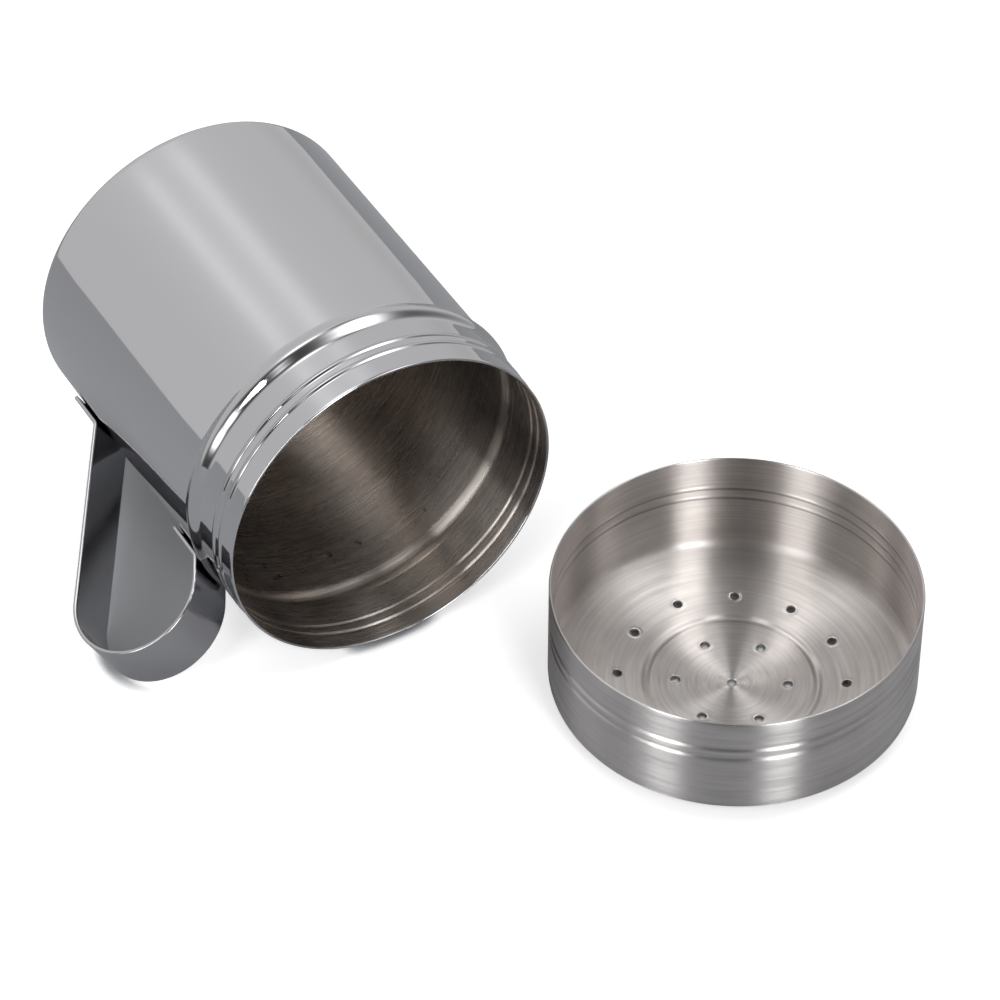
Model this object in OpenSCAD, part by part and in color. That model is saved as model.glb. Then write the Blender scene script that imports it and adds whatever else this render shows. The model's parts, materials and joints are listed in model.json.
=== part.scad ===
// Screw-top spice shaker in stainless sheet: a can with a strap handle, lying on its side,
// and its perforated lid beside it, lying on its domed face. Millimetres, +Z up, floor at z = 0.
// The can's mouth points along -Y. The origin is the middle of the arrangement, on the floor.

/* [Can] */
// Outer radius of the can's straight wall
can_r = 35; // [32:0.5:40]
// Length of the can from its base to its rim
can_len = 83.5; // [78:0.5:110]
// Thickness of the can's and the lid's sheet
sheet = 0.5; // [0.4:0.05:0.6]
// Outer radius of the rounded edge round the base
base_edge_r = 2.6; // [2:0.1:4]
// How far the neck is drawn in from the straight wall
neck_in = 0.2; // [0.1:0.05:0.3]
// How far the shoulder bead stands out of the straight wall
bead_h = 0.85; // [0.6:0.05:1.1]
// Half the shoulder bead's width along the can
bead_half = 2.9; // [2.4:0.1:3.2]
// Distance from the shoulder bead's crest to the rim
bead_down = 15.7; // [14:0.1:18]

/* [Thread] */
// Spacing of the rolled thread's turns
pitch = 2.5; // [2.2:0.1:2.8]
// Distance from the can's rim to its first turn
can_turn_down = 4.6; // [4:0.1:5.5]
// Distance from the lid's rim to its first turn
lid_turn_down = 7.1; // [6:0.1:8]
// How far a turn stands out of the neck
can_turn_h = 0.35; // [0.25:0.05:0.4]
// How far a turn is pressed into the lid's wall
lid_turn_h = 0.5; // [0.4:0.05:0.55]
// Half the width of a turn
turn_half = 1.05; // [0.8:0.05:1.1]

/* [Handle] */
// Width of the handle's strap
strap_w = 12.5; // [11:0.5:14]
// Thickness of the handle's strap
strap_t = 0.8; // [0.7:0.05:1]
// Radius of the round end, at the middle of the strap
grip_r = 13.2; // [12:0.1:13.4]
// Distance from the feet to the centre of the round end, away from the can
grip_off = 13.7; // [13.6:0.1:18]
// Distance from the shoulder bead down to the centre of the round end
grip_down = 5.8; // [5:0.1:7]
// Distance from the shoulder bead down to the bend at the upper foot
high_bend_down = 2.8; // [2.8:0.1:3.6]
// Distance from the shoulder bead down to the bend at the lower foot
low_bend_down = 46.3; // [42:0.1:50]
// Length of each foot, beyond its bend
foot_len = 9; // [7:0.5:10]
// Radius of the bends at the feet, at the middle of the strap
bend_r = 1.6; // [1.2:0.1:2]

/* [Lid] */
// How far the lid's wall stands out beyond the can's straight wall
lid_over = 1; // [0.9:0.05:1.2]
// Height of the lid, from the middle of its domed face to its rim
lid_h = 27; // [22:0.5:32]
// Rise of the lid's domed face
dome_h = 3; // [2:0.1:4]
// Outer radius of the rounded edge round the lid's face
lid_edge_r = 2.5; // [2:0.1:3]
// Diameter of the dispensing holes
hole_d = 1.9; // [1.5:0.1:3]
// Radius of the inner ring of holes
inner_ring_r = 11; // [9:0.5:13]
// Radius of the outer ring of holes
outer_ring_r = 22.4; // [20:0.1:25]
// Radius of the plain ring bead pressed into the face between the rings of holes
face_bead_r = 16.8; // [15.5:0.1:17.5]
// Depth of that ring bead
face_bead_h = 0.35; // [0.2:0.05:0.4]

/* [Arrangement] */
// Distance of the lid's centre to the right of the can's axis
lid_right = 50.9; // [50:0.1:90]
// Distance of the lid's centre ahead of the can's mouth
lid_ahead = 43.7; // [43:0.1:90]
// Turn of the lid's holes
lid_turn = 26.7; // [0:0.1:60]

/* [Hidden] */
$fn = 96;

inner_holes = 6;
outer_holes = 12;
face_bead_half = 1.1;
weld_d = 3.2;
weld_depth = 0.12;
weld_side = 3;
seat = 0.1;
floor_gap = 0.01;

neck_r = can_r - neck_in;
bead_r = can_r + bead_h;
bead_z = can_len - bead_down;
can_turns = [can_len - can_turn_down - pitch, can_len - can_turn_down];

// The can lies on its base edge and its shoulder bead. Both are round in section, so the floor
// is the common tangent of two circles, and the can's axis rises by lie degrees to the mouth.
crest_r = 2.3;
lie_run = bead_z - base_edge_r;
lie_rise = (bead_r - crest_r) - (can_r - base_edge_r);
lie = atan2(lie_rise, lie_run) + asin((crest_r - base_edge_r) / norm([lie_run, lie_rise]));
base_up = (can_r - base_edge_r) * cos(lie) + base_edge_r - base_edge_r * sin(lie);

// The strap's run in the can's own frame: its two bends, and the slopes of the two legs, each
// tangent to the round end
strap_x = can_r + strap_t / 2 - seat;
grip_x = strap_x + grip_off;
grip_z = bead_z - grip_down;
low_bend_z = bead_z - low_bend_down;
high_bend_z = bead_z - high_bend_down;
low_span = [grip_z - low_bend_z, grip_off];
high_span = [grip_z - high_bend_z, grip_off];
low_slope = atan2(low_span[1], low_span[0]) + asin(grip_r / norm(low_span));
high_slope = atan2(high_span[1], high_span[0]) - asin(grip_r / norm(high_span));
low_trim = bend_r * tan(low_slope / 2);
high_trim = bend_r * tan(high_slope / 2);

// The handle leans down until the lower edge of its round end meets the floor
grip_reach = grip_x + grip_r + strap_t / 2;
axis_up_at_grip = (base_up + grip_z * sin(lie) - floor_gap) / cos(lie);
lean = asin(axis_up_at_grip / norm([grip_reach, strap_w / 2])) - atan2(strap_w / 2, grip_reach);

// The lid as it lies: the middle of its domed face on the floor at z = 0, open side up. The
// dome meets the rounded edge tangentially, where both slope by edge_slope.
lid_r = can_r + lid_over;
face_r = lid_r - lid_edge_r;
dome_r = (face_r * face_r + dome_h * dome_h) / (2 * dome_h);
edge_slope = asin(face_r / (dome_r - lid_edge_r));
edge_z = dome_r - (dome_r - lid_edge_r) * cos(edge_slope);
lid_turns = [lid_h - lid_turn_down - pitch, lid_h - lid_turn_down];

// The arrangement's extents from the middle of the can's mouth, which centre it on the origin
left_end = -(grip_reach * cos(lean) + strap_w / 2 * sin(lean));
right_end = lid_right + lid_r;
front_end = -lid_ahead - lid_r;
back_end = (can_len - base_edge_r) * cos(lie) + (can_r - base_edge_r) * sin(lie) + base_edge_r;
mouth_x = -(left_end + right_end) / 2;
mouth_y = -(front_end + back_end) / 2;

function reverse(v) = [for (i = [len(v) - 1:-1:0]) v[i]];
function sum(v, i = 0) = i < len(v) ? v[i] + sum(v, i + 1) : 0;

// Height of a smooth ridge of half width half and height h, at a distance d from its crest
function ridge(d, half, h) = abs(d) < half ? h * (1 + cos(180 * d / half)) / 2 : 0;

// Stations across a ridge centred at c
function across(c, half, steps) = [for (i = [0:steps]) c - half + 2 * half * i / steps];

// An arc of radius r about [x, z]
function arc(x, z, r, from, to, steps) =
    [for (i = [0:steps])
        let (a = from + (to - from) * i / steps) [x + r * cos(a), z + r * sin(a)]];

// Outer radius of the can's wall at height z: straight wall, shoulder bead, neck and thread
function can_wall_r(z) =
    (z < bead_z ? can_r : neck_r)
    + ridge(z - bead_z, bead_half, z < bead_z ? bead_h : bead_h + neck_in)
    + sum([for (t = can_turns) ridge(z - t, turn_half, can_turn_h)]);

// The can's outside line, or its inside line with t = sheet
function can_line(t) = concat(
    [[0, t]],
    arc(can_r - base_edge_r, base_edge_r, base_edge_r - t, -90, 0, 6),
    [for (z = can_stations) [can_wall_r(z) - t, z]]);

can_stations = concat(
    across(bead_z, bead_half, 14),
    across(can_turns[0], turn_half, 8),
    across(can_turns[1], turn_half, 8),
    [can_len]);

function lid_wall_r(z) = lid_r - sum([for (t = lid_turns) ridge(z - t, turn_half, lid_turn_h)]);

// Height of the lid's face at radius x: a shallow dome with the plain ring bead pressed in
function face_z(x, t) =
    dome_r - sqrt(pow(dome_r - t, 2) - x * x)
    - ridge(x - face_bead_r, face_bead_half, face_bead_h);

// The lid's outside line, or its inside line with t = sheet
function lid_line(t) = concat(
    [for (x = face_stations) [x, face_z(x, t)]],
    arc(face_r, edge_z, lid_edge_r - t, edge_slope - 90, 0, 6),
    [for (z = lid_stations) [lid_wall_r(z) - t, z]]);

face_stations = concat(
    [0, face_bead_r / 3, face_bead_r * 2 / 3],
    across(face_bead_r, face_bead_half, 8),
    [for (k = [1:3]) face_bead_r + face_bead_half + (face_r - face_bead_r) * k / 4]);

lid_stations = concat(
    across(lid_turns[0], turn_half, 8),
    across(lid_turns[1], turn_half, 8),
    [lid_h]);

// The strap's side line at a distance d from its middle, positive on the outside of the loop,
// from the lower foot's tip to the upper foot's tip. The legs are the gaps between the arcs.
function strap_line(d) = concat(
    [[strap_x + d, low_bend_z - foot_len]],
    arc(strap_x + bend_r, low_bend_z - low_trim, bend_r - d, 180, 180 - low_slope, 8),
    arc(grip_x, grip_z, grip_r + d, -low_slope, 180 - high_slope, 48),
    arc(strap_x + bend_r, high_bend_z - high_trim, bend_r + d, 180 - high_slope, 180, 8),
    [[strap_x - d, high_bend_z - foot_len]]);

// Places a shape made in the can's own frame, base at z = 0 and handle towards +X, as it lies
module as_it_lies()
    translate([mouth_x, mouth_y + can_len * cos(lie), base_up])
        rotate([90 - lie, 0, 0])
            rotate([0, 0, 180 + lean])
                children();

module as_the_lid_lies()
    translate([mouth_x + lid_right, mouth_y - lid_ahead, 0])
        rotate([0, 0, lid_turn])
            children();

// One thickness of sheet turned round Z between an outside and an inside line
module spun_sheet(outside, inside)
    rotate_extrude() polygon(concat(outside, reverse(inside)));

// Two spot welds side by side across a foot whose middle is at height z
module weld_marks(z)
    for (side = [-weld_side, weld_side])
        translate([strap_x + strap_t / 2 - weld_depth, side, z])
            rotate([0, 90, 0])
                cylinder(d = weld_d, h = 1, $fn = 32);

module dispensing_holes()
    for (ring = [[0, 1], [inner_ring_r, inner_holes], [outer_ring_r, outer_holes]])
        for (i = [0:ring[1] - 1])
            rotate([0, 0, 360 * i / ring[1]])
                translate([ring[0], 0, -1])
                    cylinder(d = hole_d, h = dome_h + 2, $fn = 32);

// Deep-drawn can: flat base, straight wall, rolled shoulder bead, neck and rolled thread
module can_body()
    color([0.72, 0.73, 0.75])
        as_it_lies()
            spun_sheet(can_line(0), can_line(sheet));

// Bent strap whose two feet are welded to the can's wall, which their seats follow
module handle()
    color([0.62, 0.63, 0.65])
        as_it_lies()
            difference() {
                rotate([90, 0, 0])
                    linear_extrude(height = strap_w, center = true)
                        polygon(concat(strap_line(strap_t / 2), reverse(strap_line(-strap_t / 2))));
                cylinder(r = can_r, h = can_len);
                weld_marks(low_bend_z - foot_len / 2);
                weld_marks(high_bend_z - foot_len / 2);
            }

// Drawn lid with a domed perforated face and the matching thread pressed into its wall
module perforated_lid()
    color([0.68, 0.67, 0.66])
        as_the_lid_lies()
            difference() {
                spun_sheet(lid_line(0), lid_line(sheet));
                dispensing_holes();
            }

can_body();
handle();
perforated_lid();
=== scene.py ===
import json
import math

import bmesh
import bpy
import numpy as np
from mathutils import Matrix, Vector


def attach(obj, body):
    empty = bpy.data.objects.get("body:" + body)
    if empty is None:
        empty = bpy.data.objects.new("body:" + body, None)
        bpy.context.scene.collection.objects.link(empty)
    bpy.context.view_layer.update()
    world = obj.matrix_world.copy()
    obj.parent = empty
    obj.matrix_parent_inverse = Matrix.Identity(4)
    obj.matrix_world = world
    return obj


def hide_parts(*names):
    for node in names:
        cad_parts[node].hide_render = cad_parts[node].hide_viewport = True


mm = 0.001
uvLength = 100.0  # mm of surface to one unit of UV
mergeWithin = 2e-6  # m, points closer than this become one
sharpAngle = 35  # degrees, edges that turn more than this stay crisp

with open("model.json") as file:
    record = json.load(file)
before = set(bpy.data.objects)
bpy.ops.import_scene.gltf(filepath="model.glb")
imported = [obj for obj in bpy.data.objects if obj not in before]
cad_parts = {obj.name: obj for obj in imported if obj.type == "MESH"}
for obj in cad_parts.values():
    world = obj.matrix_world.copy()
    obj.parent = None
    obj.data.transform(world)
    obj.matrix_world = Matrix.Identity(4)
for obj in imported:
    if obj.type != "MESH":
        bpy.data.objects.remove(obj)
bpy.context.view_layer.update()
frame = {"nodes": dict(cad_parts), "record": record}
mounts = {m["name"]: m for m in frame["record"]["mounts"]}
print("frame loaded:", ", ".join(frame["nodes"]))


def smooth(x):
    # 0 below 0, 1 above 1, and 3x^2 - 2x^3 between
    x = np.clip(x, 0, 1)
    return x * x * (3 - 2 * x)


def ridge(d, half):
    # a raised cosine: 1 at d = 0, 0 from d = half on
    return np.where(np.abs(d) < half, (1 + np.cos(np.pi * d / half)) / 2, 0)


def spread(start, end, steps):
    # steps + 1 values or points, evenly from start to end
    return np.linspace(start, end, steps + 1)


def polar(r, a):
    # points (r cos a, r sin a), a in degrees
    return np.stack([r * np.cos(np.radians(a)), r * np.sin(np.radians(a))], -1)


def arc(x, y, r, start, end, steps):
    # points (x + r cos a, y + r sin a), for a from start to end degrees
    return np.array([x, y]) + polar(r, spread(start, end, steps))


def runLength(points):
    # the distance along a row of points, from its first one
    return np.concatenate([[0], np.cumsum(np.linalg.norm(np.diff(points, axis=0), axis=1))])


def linear(hexColour):
    # sRGB hex to linear: ((c + 0.055) / 1.055)^2.4 above 0.04045, c / 12.92 below
    c = [int(hexColour[i:i + 2], 16) / 255 for i in (1, 3, 5)]
    return [((v + 0.055) / 1.055) ** 2.4 if v > 0.04045 else v / 12.92 for v in c] + [1]


def patch(points, uv, slot=0, keep=None, dullAndShade=None):
    # A grid of points (rows, columns, 3) in mm in the piece's own frame, with its UV grid and
    # its material slot. keep is the grid of cells that stay, where some are left out. The last
    # argument is the grid of painted shade: how much the tone is darkened, where it is.
    return {"points": points, "uv": uv, "slot": slot, "keep": keep, "dullAndShade": dullAndShade}


def buildPiece(name, patches, origin, axes, materials):
    # World place of a point is origin + axes . point. Neighbouring cells share corners, the
    # patches are merged where they meet, and each loop keeps its own UV.
    verts, quads, uvs, slots, paintedShades, start = [], [], [], [], [], 0
    for p in patches:
        rows, cols = p["points"].shape[:2]
        index = start + np.arange(rows * cols).reshape(rows, cols)
        cells = np.stack([index[:-1, :-1], index[1:, :-1], index[1:, 1:], index[:-1, 1:]], -1)
        cells = cells[p["keep"]] if p["keep"] is not None else cells.reshape(-1, 4)
        verts.append(p["points"].reshape(-1, 3))
        uvs.append(p["uv"].reshape(-1, 2))
        quads.append(cells)
        slots.append(np.full(len(cells), p["slot"]))
        paintedShades.append(np.zeros(rows * cols) if p["dullAndShade"] is None else p["dullAndShade"].ravel())
        start += rows * cols
    local, quads, uvs = np.concatenate(verts), np.concatenate(quads), np.concatenate(uvs)
    world = (np.array(origin) + local * mm @ np.array(axes)).astype(np.float32)
    mesh = bpy.data.meshes.new(name)
    mesh.vertices.add(len(world))
    mesh.vertices.foreach_set("co", world.ravel())
    mesh.loops.add(quads.size)
    mesh.loops.foreach_set("vertex_index", quads.ravel().astype(np.int32))
    mesh.polygons.add(len(quads))
    mesh.polygons.foreach_set("loop_start", np.arange(0, quads.size, 4, dtype=np.int32))
    mesh.polygons.foreach_set("material_index", np.concatenate(slots).astype(np.int32))
    mesh.update(calc_edges=True)
    layer = mesh.uv_layers.new(name="lathe")
    layer.data.foreach_set("uv", uvs[quads.ravel()].ravel().astype(np.float32))
    own = mesh.attributes.new("ownPlace", "FLOAT_VECTOR", "POINT")
    own.data.foreach_set("vector", local.ravel().astype(np.float32))
    paintedShade = mesh.attributes.new("paintedShade", "FLOAT", "POINT")
    paintedShade.data.foreach_set("value", np.concatenate(paintedShades).astype(np.float32))
    bm = bmesh.new()
    bm.from_mesh(mesh)
    bmesh.ops.remove_doubles(bm, verts=bm.verts, dist=mergeWithin)
    openEdges = sum(e.is_boundary or not e.is_manifold for e in bm.edges)
    bmesh.ops.recalc_face_normals(bm, faces=bm.faces)
    bm.to_mesh(mesh)
    bm.free()
    mesh.polygons.foreach_set("use_smooth", np.ones(len(mesh.polygons), dtype=bool))
    mesh.set_sharp_from_angle(angle=math.radians(sharpAngle))
    for material in materials:
        mesh.materials.append(material)
    piece = bpy.data.objects.new(name, mesh)
    bpy.context.scene.collection.objects.link(piece)
    print("made", name, len(mesh.polygons), "faces, open edges", openEdges)
    return piece


def lathe(line, angles, radiusAt=None, slot=0, keep=None):
    # line holds (radius, height) rows; each row is turned round Z through all the angles:
    # x = r cos a, y = r sin a, z = h, where r may instead be a function of (h, a). UV: the
    # share of the turn, and the distance along the line
    h = np.repeat(line[:, 1:], len(angles), 1)
    r = radiusAt(h, angles) if radiusAt else np.repeat(line[:, :1], len(angles), 1)
    u, v = np.broadcast_arrays((angles - angles[0]) / 360, runLength(line)[:, None] / uvLength)
    points = np.concatenate([polar(r, angles), h[..., None]], -1)
    return patch(points, np.stack([u, v], -1), slot, keep)


def helixRidge(height, angle, c, rim, half, up=0):
    # A right-handed thread that starts at the angle threadStart, threadDepth below the rim, and
    # sinks one pitch a turn: the sum over the turns of a ridge whose centre is at
    # rim - depth + up - pitch t / 360, where t is the angle turned since the start. It fades in
    # and out over threadFade degrees at its two ends.
    total = np.zeros(np.broadcast(height, angle).shape)
    base = np.mod(c["threadStart"] - angle, 360)
    for turn in range(-1, int(c["threadTurned"] // 360) + 2):
        t = base + 360 * turn
        centre = rim - c["threadDepth"] + up - c["threadPitch"] * t / 360
        left = c["threadTurned"] - t
        fade = smooth(t / c["threadFade"] + 0.5) * smooth(left / c["threadFade"] + 0.5)
        total = total + fade * ridge(height - centre, half)
    return total


def addNode(tree, kind, values=None):
    # values holds {property or input: value}, properties first. A value may be an output
    # socket, or a node, which stands for its first output.
    node = tree.nodes.new("ShaderNode" + kind)
    for key, value in (values or {}).items():
        if isinstance(value, bpy.types.Node):
            value = value.outputs[0]
        if isinstance(value, bpy.types.NodeSocket):
            tree.links.new(value, node.inputs[key])
        elif isinstance(key, int) or key in node.inputs:
            node.inputs[key].default_value = value
        else:
            setattr(node, key, value)
    return node


def newMaterial(name):
    material = bpy.data.materials.new(name)
    material.use_nodes = True
    material.node_tree.nodes.clear()
    return material, material.node_tree


def ownFrame(tree):
    # the piece's own place in mm, and its X, Y and Z
    place = addNode(tree, "Attribute", {"attribute_name": "ownPlace"}).outputs["Vector"]
    return place, addNode(tree, "SeparateXYZ", {0: place}).outputs


# what all the brushed finishes share, in mm, in degrees or as shares
brushing = {
    "fineRound": 0.6, "coarseRound": 1.3, "lineRoughness": 0.6, "lineLow": 0.3, "lineHigh": 0.7,
    "patchScale": 0.09, "patchDetail": 3.0, "patchLow": 0.4, "patchHigh": 0.7,
    "roughLow": 0.85, "roughHigh": 1.15, "coarseShare": 1 / 3, "turnedAcross": 0.25,
    # a dark colour for both the real marks and the painted shade line along the thread
    "dirtAndShade": "#3A332E", "smudge": 0, "bend": 0, "threadShade": 0,
    "spotScale": 0.4, "spotDetail": 3.0, "spotLow": 0.6, "spotHigh": 0.74,
    "sideLow": -30.0, "sideHigh": -5.0, "sideHeld": 0.2,
    "bandFull": 2.0, "bandEnd": 5.0, "bandShare": 0.75,
    "bendBefore": 1.0, "bendAfter": 0.3, "bendDull": 0.08,
}


def brushedSteel(name, v):
    # Stainless steel brushed round its axis: fine rings tip the surface a little in and out,
    # which draws every light out across them into the bright and dark sectors of a turned pan.
    # Real brush lines are a few hundredths of a mm apart, too fine to show, so fineLine and
    # coarseLine draw them as coarse as they need to be.
    v = {**brushing, **v}
    material, tree = newMaterial(name)
    place, part = ownFrame(tree)
    flat = addNode(tree, "VectorMath", {"operation": "MULTIPLY", 0: place, 1: (1, 1, 0)})
    radius = addNode(tree, "VectorMath", {"operation": "LENGTH", 0: flat}).outputs["Value"]
    way = addNode(tree, "VectorMath", {"operation": "NORMALIZE", 0: flat})
    across = addNode(tree, "Math", {"operation": "SUBTRACT", 0: radius, 1: part["Z"]})

    def ringNoise(spacing, around, detail):
        # noise that changes every spacing mm across the brushed rings, and slowly round them
        ring = addNode(tree, "Math", {"operation": "DIVIDE", 0: across, 1: spacing})
        slow = addNode(tree, "VectorMath", {
            "operation": "MULTIPLY", 0: way, 1: (around, around, 0)})
        rise = addNode(tree, "CombineXYZ", {2: ring})
        cell = addNode(tree, "VectorMath", {"operation": "ADD", 0: slow, 1: rise})
        return addNode(tree, "TexNoise", {
            "Vector": cell, "Scale": 1.0, "Detail": detail, "Roughness": v["lineRoughness"]})

    fine = ringNoise(v["fineLine"], v["fineRound"], v["detail"] - 1)  # one octave less
    coarse = ringNoise(v["coarseLine"], v["coarseRound"], v["detail"])
    lines = addNode(tree, "MapRange", {
        "Value": coarse, "From Min": v["lineLow"], "From Max": v["lineHigh"]})
    shade = addNode(tree, "MixRGB", {
        "Fac": lines, "Color1": linear(v["light"]), "Color2": linear(v["dark"])})
    patchy = addNode(tree, "TexNoise", {
        "Vector": place, "Scale": v["patchScale"], "Detail": v["patchDetail"]})
    worn = addNode(tree, "MapRange", {
        "Value": patchy, "From Min": v["patchLow"], "From Max": v["patchHigh"],
        "To Max": v["worn"]})
    tone = addNode(tree, "MixRGB", {
        "blend_type": "MULTIPLY", "Fac": worn, "Color1": shade, "Color2": linear(v["stain"])})
    if v["threadShade"]:
        # painted shade along the thread: the tone is darkened on a line that follows it
        held = addNode(tree, "Attribute", {"attribute_name": "paintedShade"}).outputs["Fac"]
        share = addNode(tree, "Math", {"operation": "MULTIPLY", 0: held, 1: v["threadShade"]})
        tone = addNode(tree, "MixRGB", {
            "blend_type": "MULTIPLY", "Fac": share, "Color1": tone, "Color2": linear(v["dirtAndShade"])})
    if v["smudge"]:
        # the tool's dark marks below the shoulder: spots of noise, held to a band along the
        # axis and to the side that the can lies on
        spots = addNode(tree, "TexNoise", {
            "Vector": place, "Scale": v["spotScale"], "Detail": v["spotDetail"]})
        side = addNode(tree, "MapRange", {
            "interpolation_type": "SMOOTHSTEP", "Value": part["Y"],
            "From Min": v["sideLow"], "From Max": v["sideHigh"], "To Max": v["sideHeld"]})
        held = addNode(tree, "Math", {"operation": "SUBTRACT", 0: spots, 1: side})
        spot = addNode(tree, "MapRange", {
            "interpolation_type": "SMOOTHSTEP", "Value": held,
            "From Min": v["spotLow"], "From Max": v["spotHigh"]})
        away = addNode(tree, "Math", {"operation": "SUBTRACT", 0: part["Z"], 1: v["smudge"]})
        far = addNode(tree, "Math", {"operation": "ABSOLUTE", 0: away})
        band = addNode(tree, "MapRange", {
            "interpolation_type": "SMOOTHSTEP", "Value": far, "From Min": v["bandFull"],
            "From Max": v["bandEnd"], "To Min": v["bandShare"], "To Max": 0.0})
        mark = addNode(tree, "Math", {"operation": "MULTIPLY", 0: spot, 1: band})
        tone = addNode(tree, "MixRGB", {
            "blend_type": "MULTIPLY", "Fac": mark, "Color1": tone, "Color2": linear(v["dirtAndShade"])})
    rough = addNode(tree, "MapRange", {
        "Value": coarse, "From Min": v["lineLow"], "From Max": v["lineHigh"],
        "To Min": v["roughness"] * v["roughLow"], "To Max": v["roughness"] * v["roughHigh"]})
    if v["bend"]:
        # the wheel doesn't reach into the bend, whose radius less height is the greatest of all
        dullAndShade = addNode(tree, "MapRange", {
            "interpolation_type": "SMOOTHSTEP", "Value": across,
            "From Min": v["bend"] - v["bendBefore"], "From Max": v["bend"] + v["bendAfter"],
            "To Max": v["bendDull"]})
        rough = addNode(tree, "Math", {"operation": "ADD", 0: rough, 1: dullAndShade})

    # tip = (fine - 0.5) * slope + (coarse - 0.5) * a third of it, along the surface across the
    # rings; the normal is tipped by that much of normal x tangent
    slope, coarseSlope = v["slope"], v["slope"] * v["coarseShare"]
    fineTip = addNode(tree, "Math", {
        "operation": "MULTIPLY_ADD", 0: fine, 1: slope, 2: -slope / 2})
    coarseTip = addNode(tree, "Math", {
        "operation": "MULTIPLY_ADD", 0: coarse, 1: coarseSlope, 2: -coarseSlope / 2})
    tip = addNode(tree, "Math", {"operation": "ADD", 0: fineTip, 1: coarseTip})
    tangent = addNode(tree, "Tangent", {"direction_type": "UV_MAP", "uv_map": "lathe"})
    surface = addNode(tree, "NewGeometry").outputs["Normal"]
    crossing = addNode(tree, "VectorMath", {
        "operation": "CROSS_PRODUCT", 0: surface, 1: tangent})
    tilt = addNode(tree, "VectorMath", {"operation": "SCALE", 0: crossing, "Scale": tip})
    tipped = addNode(tree, "VectorMath", {"operation": "ADD", 0: surface, 1: tilt})
    normal = addNode(tree, "VectorMath", {"operation": "NORMALIZE", 0: tipped})
    steel = addNode(tree, "BsdfPrincipled", {
        "Metallic": 1.0, "Anisotropic": 1.0, "Anisotropic Rotation": v["turnedAcross"],
        "Base Color": tone, "Roughness": rough, "Normal": normal, "Tangent": tangent})
    addNode(tree, "OutputMaterial", {"Surface": steel})
    return material


# what both polished finishes share, in mm or as shares
polishing = {
    "hazeScale": 0.12, "hazeDetail": 4.0, "hazeLow": 0.3, "hazeHigh": 0.75,
    "roughLow": 0.8, "roughHigh": 1.4, "rolledFrom": 0, "rolledOver": 2.0,
}


def polishedSteel(name, v):
    # Stainless steel buffed to a mirror: sharp reflections, a little wavy in drawn sheet, with
    # a faint haze where it was wiped. From rolledFrom mm up its axis the roller has darkened it.
    v = {**polishing, **v}
    material, tree = newMaterial(name)
    place, part = ownFrame(tree)
    haze = addNode(tree, "TexNoise", {
        "Vector": place, "Scale": v["hazeScale"], "Detail": v["hazeDetail"]})
    rough = addNode(tree, "MapRange", {
        "Value": haze, "From Min": v["hazeLow"], "From Max": v["hazeHigh"],
        "To Min": v["roughness"] * v["roughLow"], "To Max": v["roughness"] * v["roughHigh"]})
    tone = linear(v["colour"])
    if v["rolledFrom"]:
        rolled = addNode(tree, "MapRange", {
            "interpolation_type": "SMOOTHSTEP", "Value": part["Z"],
            "From Min": v["rolledFrom"], "From Max": v["rolledFrom"] + v["rolledOver"]})
        tone = addNode(tree, "MixRGB", {
            "Fac": rolled, "Color1": tone, "Color2": linear(v["rolledColour"])})
    swell = addNode(tree, "TexNoise", {
        "Vector": place, "Scale": 1 / v["waveLength"], "Detail": 0.0})
    wave = addNode(tree, "Bump", {
        "Strength": 1.0, "Distance": v["waveDepth"] * mm, "Height": swell})
    steel = addNode(tree, "BsdfPrincipled", {
        "Metallic": 1.0, "Base Color": tone, "Roughness": rough, "Normal": wave})
    addNode(tree, "OutputMaterial", {"Surface": steel})
    return material


# the can outside: a cool mirror
mirrorSteel = polishedSteel("buffedStainlessSteel", {
    "colour": "#CACACC", "rolledColour": "#C6C6C8", "rolledFrom": 65.5,
    "roughness": 0.05, "waveLength": 22.0, "waveDepth": 0.06})
# the can inside: brown and dim, with drawn lines and a few dark marks
insideSteel = brushedSteel("drawnStainlessInside", {
    "light": "#D8D1CB", "dark": "#B5ACA5", "stain": "#9A918A", "worn": 0.45,
    "roughness": 0.28, "fineLine": 0.25, "coarseLine": 0.7, "detail": 3.0, "slope": 0.36,
    "smudge": 59.0})
# the lid outside: a soft satin with hardly a line in it
lidSteel = brushedSteel("satinStainlessLid", {
    "light": "#D5D2D1", "dark": "#C8C5C4", "stain": "#B4AEAC", "worn": 0.2,
    "roughness": 0.33, "fineLine": 0.4, "coarseLine": 1.0, "detail": 1.0, "slope": 0.14})
# the can's base: turned rings
baseSteel = brushedSteel("turnedStainlessBase", {
    "light": "#CCCCCE", "dark": "#BEBEC0", "stain": "#AEAEB0", "worn": 0.3,
    "roughness": 0.22, "fineLine": 0.2, "coarseLine": 0.9, "detail": 3.0, "slope": 0.16})
# the lid inside: warm and bright, with fine turned rings and a painted shade line along its
# thread
lidInsideSteel = brushedSteel("turnedStainlessLid", {
    "light": "#DBD7D4", "dark": "#CBC5C2", "stain": "#B8B1AE", "worn": 0.2,
    "roughness": 0.33, "fineLine": 0.3, "coarseLine": 0.55, "detail": 2.0, "slope": 0.19,
    "bend": 30.0, "threadShade": 0.45})
# the handle: bright rolled strip, less sharp than the can
stripSteel = polishedSteel("brightRolledStrip", {
    "colour": "#BEBEC0", "roughness": 0.11, "waveLength": 12.0, "waveDepth": 0.05})
print("materials made")


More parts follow.
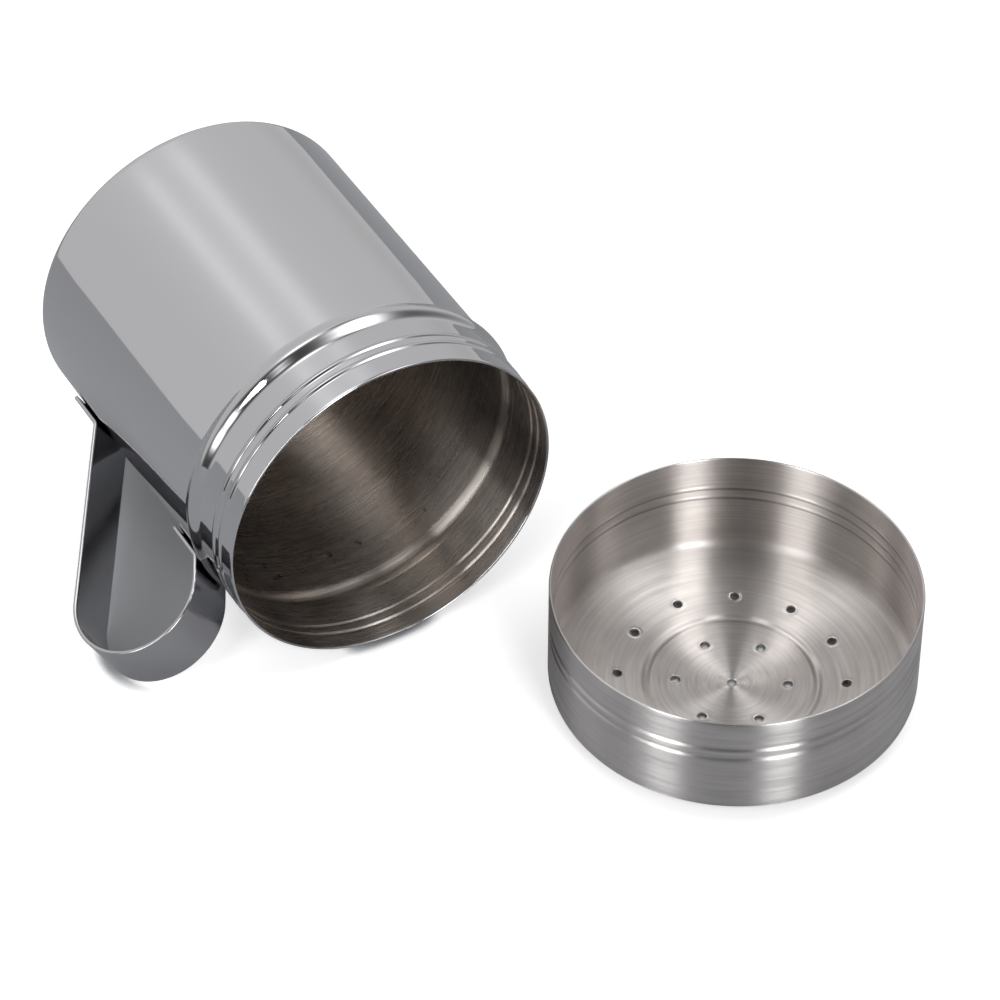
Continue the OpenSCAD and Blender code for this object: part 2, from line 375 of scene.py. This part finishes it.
# mm and degrees; the thread's rows are fine from threadTop to threadEnd mm below the rim
can = {
    "radius": 35.0, "length": 83.5, "sheet": 0.5, "baseEdge": 2.6, "neckIn": 0.2,
    "beadHeight": 0.85, "beadHalf": 2.9, "beadDown": 15.7,
    "threadPitch": 2.5, "threadHeight": 0.25, "threadHalf": 0.7, "threadFade": 30.0,
    "threadStart": 30.0, "threadTurned": 740.0, "threadDepth": 3.25,
    "threadTop": 1.5, "threadEnd": 10.0, "rimRows": (0.8, 0.25),
    "columns": 288, "floorSteps": 11, "edgeSteps": 12, "wallSteps": 8, "beadSteps": 32,
    "neckSteps": 4, "threadSteps": 61, "rimSteps": 6,
}
canAxis = -np.array(mounts["base"]["axis"])
canAxis /= np.linalg.norm(canAxis)
canSide = np.array([1.0, 0, 0])
canUp = np.cross(canAxis, canSide)
canOrigin = np.array(mounts["base"]["pos_m"])
canAxes = np.stack([canSide, canUp, canAxis])


def canPatches():
    c = can
    rim, bead = c["length"], c["length"] - c["beadDown"]
    neck = c["radius"] - c["neckIn"]
    angles = spread(0, 360, c["columns"])
    heights = np.concatenate([
        spread(c["baseEdge"], bead - c["beadHalf"], c["wallSteps"])[:-1],
        spread(bead - c["beadHalf"], bead + c["beadHalf"], c["beadSteps"]),
        spread(bead + c["beadHalf"], rim - c["threadEnd"], c["neckSteps"])[1:-1],
        spread(rim - c["threadEnd"], rim - c["threadTop"], c["threadSteps"]),
        rim - np.array(c["rimRows"])])

    def wall(t, slot):
        # straight wall, shoulder bead, neck and thread, t mm inside the outer skin:
        # r = wall or neck + bead's ridge + thread's ridge - t
        def radiusAt(h, a):
            body = np.where(h < bead, c["radius"], neck)
            rise = np.where(h < bead, c["beadHeight"], c["beadHeight"] + c["neckIn"])
            thread = c["threadHeight"] * helixRidge(h, a, c, rim, c["threadHalf"])
            return body + rise * ridge(h - bead, c["beadHalf"]) + thread - t

        line = np.stack([np.full_like(heights, c["radius"] - t), heights], -1)
        return lathe(line, angles, radiusAt, slot)

    def floorLine(t):
        # flat to the edge, then the edge's arc, t mm inside
        e = c["baseEdge"]
        flat = spread(0, c["radius"] - e, c["floorSteps"])[:-1]
        return np.concatenate([np.stack([flat, np.full_like(flat, t)], -1),
                               arc(c["radius"] - e, e, e - t, -90, 0, c["edgeSteps"])])

    s, base, edge = c["sheet"], floorLine(0), c["floorSteps"]
    rimLine = arc(neck - s / 2, rim - s / 2, s / 2, 0, 180, c["rimSteps"])
    outside = [lathe(base[:edge + 1], angles, slot=2), lathe(base[edge:], angles), wall(0, 0)]
    inside = [lathe(floorLine(s), angles, slot=1), wall(s, 1)]
    return [*outside, *inside, lathe(rimLine, angles)]


canPiece = buildPiece("drawnCan", canPatches(), canOrigin, canAxes,
                      [mirrorSteel, insideSteel, baseSteel])
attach(canPiece, "can")
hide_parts("can_body")


# mm and degrees; the three values named Down run from the shoulder bead towards the base
strap = {
    "width": 12.5, "thick": 0.8, "edge": 0.3, "seat": 0.1,
    "gripRadius": 13.2, "gripOff": 13.7, "gripDown": 5.8,
    "highBendDown": 2.8, "lowBendDown": 46.3, "foot": 9.0, "bend": 1.6, "lean": 28.944,
    "weldWidth": 3.2, "weldDepth": 0.12, "weldSide": 3.0, "weldFlat": 1.25,
    "footSteps": 36, "bendSteps": 10, "lowLegSteps": 12, "gripSteps": 72, "highLegSteps": 4,
    "sideSteps": 48, "cornerSteps": 4, "tipRows": (0, 0.3, 1), "near": 0.01,
}


def strapPath():
    # The middle line in the plane through the can's axis, as points (out, along) and their
    # normals: foot, bend, leg, round end, leg, bend, foot, each tangent to the next. Then how
    # far out the feet are, and how far along the two bends.
    p = strap
    bead = can["length"] - can["beadDown"]
    footX = can["radius"] + p["thick"] / 2 - p["seat"]
    gripX, gripZ = footX + p["gripOff"], bead - p["gripDown"]
    low, high = bead - p["lowBendDown"], bead - p["highBendDown"]

    def slope(z, side):
        # angle from the axis, in degrees, of the line from (footX, z) that is tangent to the
        # round end on the given side
        reach = math.hypot(gripZ - z, p["gripOff"])
        middle = math.atan2(p["gripOff"], gripZ - z)
        return math.degrees(middle + side * math.asin(p["gripRadius"] / reach))

    def bend(z, start, end, angle):
        # the arc starts and ends r tan(angle / 2) from the corner that it rounds
        r = p["bend"]
        trim = r * math.tan(math.radians(angle) / 2)
        return arc(footX + r, z - trim, r, start, end, p["bendSteps"])

    lowSlope, highSlope = slope(low, 1), slope(high, -1)
    lowArc = bend(low, 180, 180 - lowSlope, lowSlope)
    gripArc = arc(gripX, gripZ, p["gripRadius"], -lowSlope, 180 - highSlope, p["gripSteps"])
    highArc = bend(high, 180 - highSlope, 180, highSlope)
    points = np.concatenate([
        spread((footX, low - p["foot"]), lowArc[0], p["footSteps"]), lowArc[1:],
        spread(lowArc[-1], gripArc[0], p["lowLegSteps"])[1:-1], gripArc,
        spread(gripArc[-1], highArc[0], p["highLegSteps"])[1:-1], highArc,
        spread(highArc[-1], (footX, high - p["foot"]), p["footSteps"])[1:]])
    step = np.gradient(points, axis=0)
    step /= np.linalg.norm(step, axis=1, keepdims=True)
    return points, np.stack([step[:, 1], -step[:, 0]], -1), footX, low, high


def strapPatches():
    # The section, a rectangle with rounded corners, is carried along the middle line:
    # point = line + normal d + width y, drawn in by the corner radius at both tips
    p = strap
    half, wide, e, corner = p["thick"] / 2, p["width"] / 2, p["edge"], p["cornerSteps"]
    side = spread(e - wide, wide - e, p["sideSteps"])
    section = np.concatenate([
        np.stack([np.full_like(side, half), side], -1),
        arc(half - e, wide - e, e, 0, 90, corner)[1:],
        arc(e - half, wide - e, e, 90, 180, corner),
        np.stack([np.full_like(side, -half), side[::-1]], -1)[1:],
        arc(e - half, e - wide, e, 180, 270, corner)[1:],
        arc(half - e, e - wide, e, 270, 360, corner)])
    points, normal, footX, low, high = strapPath()

    # rounded tips: the first and last rows are repeated, and drawn in
    tips = e * np.array(p["tipRows"])
    drawn = e - np.sqrt(np.maximum(e * e - (e - tips) ** 2, 0))
    count = len(tips)
    points = np.concatenate([
        points[0] + np.outer(tips, [0, 1]), points[1:-1],
        points[-1] + np.outer(tips[::-1], [0, 1])])
    normal = np.concatenate([np.repeat(normal[:1], count, 0), normal[1:-1],
                             np.repeat(normal[-1:], count, 0)])
    inset = np.concatenate([drawn, np.zeros(len(points) - 2 * count), drawn[::-1]])[:, None]
    d = section[None, :, 0] * (1 - inset / half)
    y = section[None, :, 1] * (1 - inset / wide)
    # each tip is closed by one more row, flattened onto the section's middle
    points, normal = (np.concatenate([v[:1], v, v[-1:]]) for v in (points, normal))
    d = np.concatenate([d[:1] * 0, d, d[-1:] * 0])
    y = np.concatenate([y[:1], y, y[-1:]])

    # spot welds: shallow round dishes in the feet's outer faces
    onFoot = np.abs(points[:, :1] - footX) < p["near"]
    firstFoot = np.arange(len(points))[:, None] < len(points) // 2
    outer = np.where(firstFoot, d > half - p["near"], d < p["near"] - half)
    dish = np.zeros_like(d)
    for bend in (low, high):
        for weld in (-p["weldSide"], p["weldSide"]):
            reach = np.hypot(points[:, 1:] - bend + p["foot"] / 2, y - weld)
            dish += smooth(p["weldFlat"] - reach / (p["weldWidth"] / 2))
    d = d - np.sign(d) * p["weldDepth"] * dish * (onFoot & outer)

    out = points[:, :1] + normal[:, :1] * d
    along = points[:, 1:] + normal[:, 1:] * d
    lean = math.radians(180 + p["lean"])
    place = np.stack([out * math.cos(lean) - y * math.sin(lean),
                      out * math.sin(lean) + y * math.cos(lean), along], -1)
    uv = np.broadcast_arrays(runLength(points)[:, None], runLength(section))
    return [patch(place, np.stack(uv, -1) / uvLength)]


strapPiece = buildPiece("strapHandle", strapPatches(), canOrigin, canAxes, [stripSteel])
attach(strapPiece, "can")
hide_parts("handle")


# mm and degrees; rings holds the radius of each ring of holes and how many it has, and
# threadTop and threadEnd are as in the can
lid = {
    "radius": 36.0, "height": 27.0, "sheet": 0.5, "dome": 3.0, "edge": 2.5,
    "rings": ((11.0, 6), (22.4, 12)), "turn": 26.7,
    "hole": 0.95, "holeLip": 0.28, "lipHeight": 0.05, "lipSteps": 4,
    "beadRing": 16.8, "beadHalf": 1.1, "beadDepth": 0.35,
    "threadPitch": 2.5, "threadDepth": 5.7, "threadStart": 30.0, "threadTurned": 828.0,
    "threadFade": 30.0, "threadIn": 0.35, "threadHalf": 0.85,
    # the last two values on the next line place the painted shade line inside the thread: offset
    # up, half-width
    "insideDepth": 0.5, "insideWidth": 0.9, "threadShadeUp": -0.1, "threadShadeHalf": 0.6,
    "threadTop": 4.4, "threadEnd": 13.2,
    "columns": 240, "blockHalf": 1.65, "blockSteps": 6, "beadSteps": 12, "near": 1e-6,
    "faceStart": 2.2, "faceEnd": 1.0, "faceGaps": (1.1, 1.0, 0.9, 1.1),
    "edgeSteps": 9, "wallSteps": 5, "threadSteps": 53, "mouthSteps": 4, "rimSteps": 6,
}


def lidPatches():
    c = lid
    faceR = c["radius"] - c["edge"]
    domeR = (faceR ** 2 + c["dome"] ** 2) / (2 * c["dome"])
    slope = math.asin(faceR / (domeR - c["edge"]))
    edgeZ = domeR - (domeR - c["edge"]) * math.cos(slope)
    step = 360 / c["columns"]
    angles = c["turn"] + np.arange(c["columns"] + 1) * step
    holes = [(r, c["turn"] + 360 * k / n) for r, n in c["rings"] for k in range(n)]
    centres = [np.zeros(2)] + [polar(r, a) for r, a in holes]
    lipRadii = c["hole"] + c["holeLip"] * np.arange(c["lipSteps"] + 1) / 2
    b, w = c["blockHalf"], c["beadHalf"]

    def spaced(start, end, gap):
        # an even spread whose gaps come nearest to gap
        return spread(start, end, max(1, round((end - start) / gap)))

    # the face's rings: middle hole, first holes' block, bead, second holes' block, edge
    inner, outer = (r for r, n in c["rings"])
    bead, gaps = c["beadRing"], c["faceGaps"]
    common = np.concatenate([
        lipRadii, spaced(c["faceStart"], inner - b, gaps[0]),
        spread(inner - b, inner + b, c["blockSteps"])[1:],
        spaced(inner + b, bead - w, gaps[1])[1:],
        spread(bead - w, bead + w, c["beadSteps"])[1:],
        spaced(bead + w, outer - b, gaps[2])[1:],
        spread(outer - b, outer + b, c["blockSteps"])[1:],
        spaced(outer + b, faceR - c["faceEnd"], gaps[3])[1:]])

    def onFace(xy, t):
        # a sphere cap, less the pressed ring bead, plus the small lip round each hole
        r = np.linalg.norm(xy, axis=-1)
        z = domeR - np.sqrt((domeR - t) ** 2 - r * r) - c["beadDepth"] * ridge(r - bead, w)
        for centre in centres:
            away = np.linalg.norm(xy - centre, axis=-1) - c["hole"]
            z = z + c["lipHeight"] * ridge(away - c["holeLip"], c["holeLip"])
        return np.concatenate([xy, z[..., None]], -1)

    def facePatches(t):
        # the skin ends where the dome meets the edge's arc: (domeR - t) sin slope
        radii = np.append(common, (domeR - t) * math.sin(slope))
        keep = np.ones((len(radii) - 1, c["columns"]), dtype=bool)
        rounds = []
        for (hr, ha), centre in zip(holes, centres[1:]):
            # a block of cells round the hole gives way to rings that run from it to the
            # block's border, listed once round as (row, column)
            rows = np.flatnonzero(np.abs(radii - hr) < b + c["near"])
            wide = round(math.degrees(b / hr) / step)
            column = round((ha - c["turn"]) / step)
            cols = np.arange(column - wide, column + wide + 1)
            keep[np.ix_(rows[:-1], cols[:-1] % c["columns"])] = False
            block = np.stack(np.meshgrid(rows, cols, indexing="ij"), -1)
            loop = np.concatenate([
                block[0], block[1:, -1], block[-1, -2::-1], block[-2::-1, 0]])
            border = polar(radii[loop[:, 0]], c["turn"] + loop[:, 1] * step)
            way = border - centre
            way /= np.linalg.norm(way, axis=1, keepdims=True)
            lip = [centre + way * r for r in lipRadii]
            xy = np.stack([*lip, (lip[-1] + border) / 2, border])
            # the UV's angle is measured from the hole's own, so that it never jumps
            back = centre / hr
            sideways = xy[..., 1] * back[0] - xy[..., 0] * back[1]
            turned = np.degrees(np.arctan2(sideways, xy @ back))
            v = np.linalg.norm(xy, axis=-1) / uvLength
            uv = np.stack([(ha - c["turn"] + turned) / 360, v], -1)
            rounds.append(patch(onFace(xy, t), uv))
        whole = lathe(np.stack([radii, np.zeros_like(radii)], -1), angles, keep=keep)
        whole["points"] = onFace(whole["points"][..., :2], t)
        whole["uv"][..., 1] = radii[:, None] / uvLength
        return [whole, *rounds]

    rim, s = c["height"], c["sheet"]
    heights = np.concatenate([
        spread(edgeZ, rim - c["threadEnd"], c["wallSteps"])[:-1],
        spread(rim - c["threadEnd"], rim - c["threadTop"], c["threadSteps"]),
        spread(rim - c["threadTop"], rim - s / 2, c["mouthSteps"])[1:]])

    def wall(t, depth, half):
        # straight wall with the thread pressed in: r = radius - depth * thread's ridge - t
        def radiusAt(h, a):
            return c["radius"] - depth * helixRidge(h, a, c, rim, half) - t

        made = lathe(np.stack([np.zeros_like(heights), heights], -1), angles, radiusAt)
        made["uv"][..., 1] = (faceR + heights[:, None]) / uvLength
        # painted shade: a dark line along the thread, which only the inside's finish shows
        made["dullAndShade"] = helixRidge(heights[:, None], angles, c, rim, c["threadShadeHalf"],
                                  c["threadShadeUp"])
        return made

    def bend(t):
        # the rounded edge between face and wall
        line = arc(faceR, edgeZ, c["edge"] - t, math.degrees(slope) - 90, 0, c["edgeSteps"])
        return lathe(line, angles)

    outFace, inFace = facePatches(0), facePatches(s)
    holeWalls = []
    for low, high in zip(outFace, inFace):
        first, last = low["points"][:1], high["points"][:1]
        points = np.concatenate([first, (first + last) / 2, last])
        holeWalls.append(patch(points, np.repeat(low["uv"][:1], 3, 0)))
    rimLine = arc(c["radius"] - s / 2, rim - s / 2, s / 2, 0, 180, c["rimSteps"])
    # the sheet softens the thread: it stands out less inside
    insideWall = wall(s, c["threadIn"] * c["insideDepth"], c["threadHalf"] * c["insideWidth"])
    inside = [insideWall, bend(s), *inFace, *holeWalls]
    for p in inside:
        p["slot"] = 1
    outsideWall = wall(0, c["threadIn"], c["threadHalf"])
    return [*outFace, bend(0), outsideWall, lathe(rimLine, angles), *inside]


lidCentre = np.array([*mounts["lid_skirt"]["pos_m"][:2], 0])
lidPiece = buildPiece("perforatedLid", lidPatches(), lidCentre, np.eye(3),
                      [lidSteel, lidInsideSteel])
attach(lidPiece, "lid")
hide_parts("perforated_lid")


# m, unless a line says otherwise
studio = {
    "cameraPlace": (-306.895, -549.851, 644.493),  # mm
    "cameraTurn": (45.6589, -0.1201, -29.8717),  # degrees
    "lens": 163.159, "sensor": 36, "clip": (0.05, 50),
    "floorWhite": "#FFFFFF", "floorGrey": "#A5A6A9", "floorLift": 0.4, "glossyShare": 0.06,
    "floorRadius": 0.45, "floorStep": 3, "floorZ": -2e-5,
    "closeReach": 0.003, "closeSamples": 8, "closeLow": 0.48, "closeHigh": 0.85,
    "holeFrom": 0.0018, "holeTo": 0.0024, "holeShade": 4.0,
    "shadePlace": (-48.3, 43.2), "shadeHalf": (33.2, 12.0), "shadeTurn": 62.8,  # mm, degrees
    "shadeFrom": 0.9, "shadeTo": 1.0,
    "backdropFrom": -0.1, "backdropTo": 0.35, "backdropDark": 0.02, "backdropLight": 0.69,
    "skyBumps": (  # direction, half-width in degrees, strength
        ((-0.21, 0.698, 0.684), 5.2, 0.16), ((0.14, 0.698, 0.702), 6.2, 0.2),
        ((-0.02, 0.66, 0.75), 26, 0.14), ((0.75, 0.66, -0.02), 10, -0.1),
        ((-0.18, 0.395, 0.9), 10, 2.7), ((0.39, -0.13, 0.91), 14.5, 3.8),
        ((0.8, -0.5, 0.25), 28, 0.25), ((0.26, 0.39, 0.883), 12, -0.64),
        ((-0.43, -0.22, 0.875), 5.5, 1.2), ((-0.888, -0.213, 0.407), 5, 4.0),
        ((-0.968, -0.166, 0.191), 6, 4.0), ((0.42, 0.12, 0.9), 8, 1.5),
        ((-0.02, 0.44, 0.9), 7, 0.9)),
    "softboxes": (  # name, azimuth and elevation in degrees, distance, width, height, radiance
        ("leftSoftbox", 205, 26, 1.3, 0.36, 1.2, 5.4),
        ("frontSoftbox", 266, 25, 1.3, 0.34, 1.1, 6.6)),
    "lampAim": (0, 0, 0.03),
}


def seenShare(tree):
    # 1 for a camera or transmission ray and 0 for the rest; then the same with the studio's
    # share for a glossy ray
    path = addNode(tree, "LightPath").outputs
    straight = addNode(tree, "Math", {
        "operation": "MAXIMUM", 0: path["Is Camera Ray"], 1: path["Is Transmission Ray"]})
    share = addNode(tree, "Math", {
        "operation": "MULTIPLY_ADD", "use_clamp": True,
        0: path["Is Glossy Ray"], 1: studio["glossyShare"], 2: straight})
    return straight, share


def makeFloor():
    # White paper to the camera and grey to the metal, so that the object's shadow stays and
    # the reflections keep their depth. Painted shade darkens it where something is close above.
    v = studio
    material, tree = newMaterial("studioPaper")
    straight, share = seenShare(tree)
    place = addNode(tree, "TexCoord").outputs["Object"]
    # the lid's wall shades the paper that shows through its middle hole: openness ^ holeShade
    fromHole = addNode(tree, "VectorMath", {"operation": "DISTANCE", 0: place, 1: lidCentre})
    holeShade = addNode(tree, "MapRange", {
        "Value": fromHole.outputs["Value"], "From Min": v["holeFrom"], "From Max": v["holeTo"],
        "To Min": v["holeShade"], "To Max": 1.0})
    # painted contact shade: the paper is darkened where something is close above it
    paintedContactShade = addNode(tree, "AmbientOcclusion", {
        "samples": v["closeSamples"], "Distance": v["closeReach"]})
    reached = addNode(tree, "Math", {
        "operation": "POWER", 0: paintedContactShade.outputs["AO"], 1: holeShade})
    openness = addNode(tree, "MapRange", {
        "Value": reached, "From Min": v["closeLow"], "From Max": v["closeHigh"]})
    # it also lies in the handle's shade inside its loop: an ellipse with a soft edge
    shadeMap = addNode(tree, "Mapping", {
        "vector_type": "TEXTURE", "Vector": place,
        "Location": [x * mm for x in v["shadePlace"]] + [0],
        "Rotation": (0, 0, math.radians(v["shadeTurn"])),
        "Scale": [x * mm for x in v["shadeHalf"]] + [1]})
    reach = addNode(tree, "VectorMath", {"operation": "LENGTH", 0: shadeMap}).outputs["Value"]
    outOfShade = addNode(tree, "MapRange", {
        "interpolation_type": "SMOOTHSTEP", "Value": reach,
        "From Min": v["shadeFrom"], "From Max": v["shadeTo"]})
    lit = addNode(tree, "Math", {"operation": "MULTIPLY", 0: outOfShade, 1: openness})
    white = addNode(tree, "Math", {"operation": "MULTIPLY", 0: share, 1: lit})
    tone = addNode(tree, "MixRGB", {
        "Fac": white, "Color1": linear(v["floorGrey"]), "Color2": linear(v["floorWhite"])})
    seen = addNode(tree, "Math", {"operation": "MULTIPLY", 0: straight, 1: lit})
    lift = addNode(tree, "Math", {"operation": "MULTIPLY", 0: seen, 1: v["floorLift"]})
    paper = addNode(tree, "BsdfDiffuse", {"Color": tone})
    glow = addNode(tree, "Emission", {"Color": (1, 1, 1, 1), "Strength": lift})
    shader = addNode(tree, "AddShader", {0: paper, 1: glow})
    addNode(tree, "OutputMaterial", {"Surface": shader})

    turned = np.arange(0, 360, v["floorStep"])
    rim = np.column_stack([polar(v["floorRadius"], turned), np.full(len(turned), v["floorZ"])])
    mesh = bpy.data.meshes.new("floor")
    mesh.from_pydata(rim.tolist(), [], [list(range(len(rim)))])
    mesh.materials.append(material)
    made = bpy.data.objects.new("floor", mesh)
    bpy.context.scene.collection.objects.link(made)
    return made


def makeSky():
    # The metal sees a backdrop that is bright towards +Y, plus the soft lights, each
    # strength * exp(-(1 - cos angle) / (1 - cos width)). The camera sees white.
    v = studio
    world = bpy.data.worlds.new("studioWorld")
    world.use_nodes = True
    bpy.context.scene.world = world
    tree = world.node_tree
    tree.nodes.clear()
    way = addNode(tree, "TexCoord").outputs["Generated"]
    part = addNode(tree, "SeparateXYZ", {0: way}).outputs
    total = addNode(tree, "MapRange", {
        "interpolation_type": "SMOOTHSTEP", "Value": part["Y"],
        "From Min": v["backdropFrom"], "From Max": v["backdropTo"],
        "To Min": v["backdropDark"], "To Max": v["backdropLight"]})
    for direction, width, strength in v["skyBumps"]:
        near = addNode(tree, "VectorMath", {
            "operation": "DOT_PRODUCT", 0: way, 1: Vector(direction).normalized()})
        fall = addNode(tree, "Math", {
            "operation": "SUBTRACT", 0: near.outputs["Value"], 1: 1.0})
        scaled = addNode(tree, "Math", {
            "operation": "DIVIDE", 0: fall, 1: 1 - math.cos(math.radians(width))})
        bell = addNode(tree, "Math", {"operation": "EXPONENT", 0: scaled})
        bump = addNode(tree, "Math", {"operation": "MULTIPLY", 0: bell, 1: strength})
        total = addNode(tree, "Math", {"operation": "ADD", 0: total, 1: bump})
    light = addNode(tree, "Mix", {
        "data_type": "FLOAT", "clamp_factor": True, 0: seenShare(tree)[1], 2: total, 3: 1.0})
    sky = addNode(tree, "Background", {"Color": (1, 1, 1, 1), "Strength": light})
    addNode(tree, "OutputWorld", {"Surface": sky})


def makeSoftbox(name, azimuth, elevation, distance, width, height, radiance):
    # A rectangle of light that faces the object; its power is pi * area * radiance
    a, e = math.radians(azimuth), math.radians(elevation)
    way = Vector((math.cos(a) * math.cos(e), math.sin(a) * math.cos(e), math.sin(e)))
    light = bpy.data.lights.new(name, "AREA")
    light.shape = "RECTANGLE"
    light.size, light.size_y = width, height
    light.energy = math.pi * width * height * radiance
    lamp = bpy.data.objects.new(name, light)
    lamp.location = Vector(studio["lampAim"]) + way * distance
    lamp.rotation_mode = "QUATERNION"
    lamp.rotation_quaternion = way.to_track_quat("Z", "Y")
    lamp.visible_camera = False
    bpy.context.scene.collection.objects.link(lamp)


floor = makeFloor()
makeSky()
for box in studio["softboxes"]:
    makeSoftbox(*box)

cameraData = bpy.data.cameras.new("camera")
cameraData.lens = studio["lens"]
cameraData.sensor_width = studio["sensor"]
cameraData.clip_start, cameraData.clip_end = studio["clip"]
camera = bpy.data.objects.new("camera", cameraData)
camera.location = Vector(studio["cameraPlace"]) * mm
camera.rotation_euler = [math.radians(v) for v in studio["cameraTurn"]]
bpy.context.scene.collection.objects.link(camera)
bpy.context.scene.camera = camera
bpy.context.scene.view_settings.view_transform = "Standard"
print("studio made")
